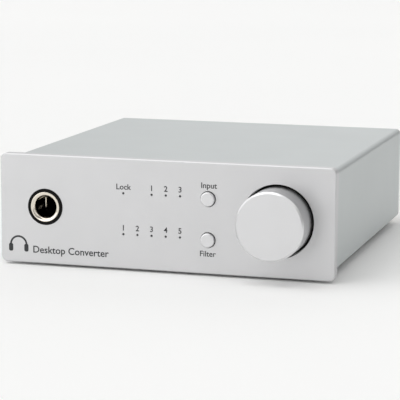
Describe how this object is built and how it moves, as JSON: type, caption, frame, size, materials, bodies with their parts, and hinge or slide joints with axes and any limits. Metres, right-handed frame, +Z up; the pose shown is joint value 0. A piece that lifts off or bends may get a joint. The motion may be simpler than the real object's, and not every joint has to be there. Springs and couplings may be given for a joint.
{
  "type": "desktop digital-to-analogue converter",
  "caption": "Small desktop audio converter in a silver case: headphone socket, indicator lights, push buttons, volume knob, and audio and power sockets behind.",
  "frame": {"origin": "on the table, midway across the case and midway from the knob's face to the ends of the rear sockets", "axes": "+X to the right seen from the front, +Y to the rear, +Z up"},
  "size_m": [0.103, 0.124, 0.0337],
  "materials": {
    "bare_brass": "turned, unplated",
    "bare_steel": "plain ground and pressed steel",
    "black_moulding": "moulded, fine matt",
    "black_steel": "black oxide",
    "board_laminate": "glass laminate with solder mask",
    "button_aluminium": "turned and anodised",
    "capacitor_sleeve": "shrunk sleeve",
    "case_aluminium": "fine-sanded sheet, clear anodised, satin",
    "chip_resin": "moulded epoxy",
    "coax_moulding": "moulded",
    "film_capacitor": "moulded box",
    "foot_rubber": "moulded, soft matt",
    "gold_plate": "gold plated, bright",
    "knob_aluminium": "turned, blasted and anodised, diamond-cut rim",
    "led_resin": "cast resin",
    "left_moulding": "moulded",
    "light_guide": "moulded, smoked clear",
    "nickel_plate": "nickel plated, bright",
    "plate_aluminium": "bead-blasted, clear anodised, satin",
    "relay_case": "moulded",
    "right_moulding": "moulded",
    "spring_nickel": "plated spring strip",
    "tray_aluminium": "folded sheet, clear anodised, satin",
    "usb_moulding": "moulded",
    "zinc_steel": "bright zinc plated"
  },
  "bodies": {
    "case": {"amplifier_chips": "chip_resin", "board_link": "black_moulding", "board_screws": "zinc_steel", "board_standoffs": "bare_brass", "chassis_tray": "tray_aluminium", "clock_oscillators": "nickel_plate", "coax_body": "coax_moulding", "coax_centre": "gold_plate", "coax_shell": "gold_plate", "converter_chip": "chip_resin", "coupling_capacitors": "film_capacitor", "cover_screws": "zinc_steel", "dc_socket_body": "black_moulding", "dc_socket_pin": "nickel_plate", "dc_socket_spring": "spring_nickel", "filter_switch_body": "black_moulding", "foot_front_left": "foot_rubber", "foot_front_right": "foot_rubber", "foot_rear_left": "foot_rubber", "foot_rear_right": "foot_rubber", "front_board": "board_laminate", "front_plate": "plate_aluminium", "front_plate_screws": "zinc_steel", "input_switch_body": "black_moulding", "jack_body": "black_moulding", "jack_collar": "black_moulding", "jack_ferrule": "nickel_plate", "jack_ring_spring": "spring_nickel", "jack_tip_spring": "spring_nickel", "left_out_body": "left_moulding", "left_out_centre": "gold_plate", "left_out_shell": "gold_plate", "lower_indicator_leds": "led_resin", "lower_light_guide": "light_guide", "main_board": "board_laminate", "mute_relay": "relay_case", "optical_body": "black_moulding", "pot_body": "bare_steel", "pot_bush": "bare_brass", "pot_nut": "nickel_plate", "pot_washer": "black_moulding", "rear_screws": "zinc_steel", "right_out_body": "right_moulding", "right_out_centre": "gold_plate", "right_out_shell": "gold_plate", "supply_capacitors": "capacitor_sleeve", "top_cover": "case_aluminium", "upper_indicator_leds": "led_resin", "upper_light_guide": "light_guide", "usb_insulator": "usb_moulding", "usb_receiver_chip": "chip_resin", "usb_shell": "nickel_plate"},
    "volume": {"volume_knob": "knob_aluminium", "knob_grub_screw": "black_steel", "pot_shaft": "bare_steel"},
    "input_key": {"input_button": "button_aluminium", "input_switch_plunger": "black_moulding"},
    "filter_key": {"filter_button": "button_aluminium", "filter_switch_plunger": "black_moulding"},
    "shutter": {"optical_shutter": "black_moulding"}
  },
  "joints": [
    {"name": "volume_turn", "type": "hinge", "parent": "case", "child": "volume", "pos_m": [0.03425, -0.0523, 0.0174], "axis": [0, 1, 0], "range_deg": [-150, 150]},
    {"name": "input_press", "type": "slide", "parent": "case", "child": "input_key", "axis": [0, 1, 0], "range_m": [0, 0.0004], "stiffness_N_per_m": 500, "springref_m": -0.0004},
    {"name": "filter_press", "type": "slide", "parent": "case", "child": "filter_key", "axis": [0, 1, 0], "range_m": [0, 0.0004], "stiffness_N_per_m": 500, "springref_m": -0.0004},
    {"name": "shutter_swing", "type": "hinge", "parent": "case", "child": "shutter", "pos_m": [-0.0076, 0.053, 0.021], "axis": [-1, 0, 0], "range_deg": [0, 85], "stiffness_Nm_per_rad": 0.0005, "springref_deg": -22.92}
  ]
}
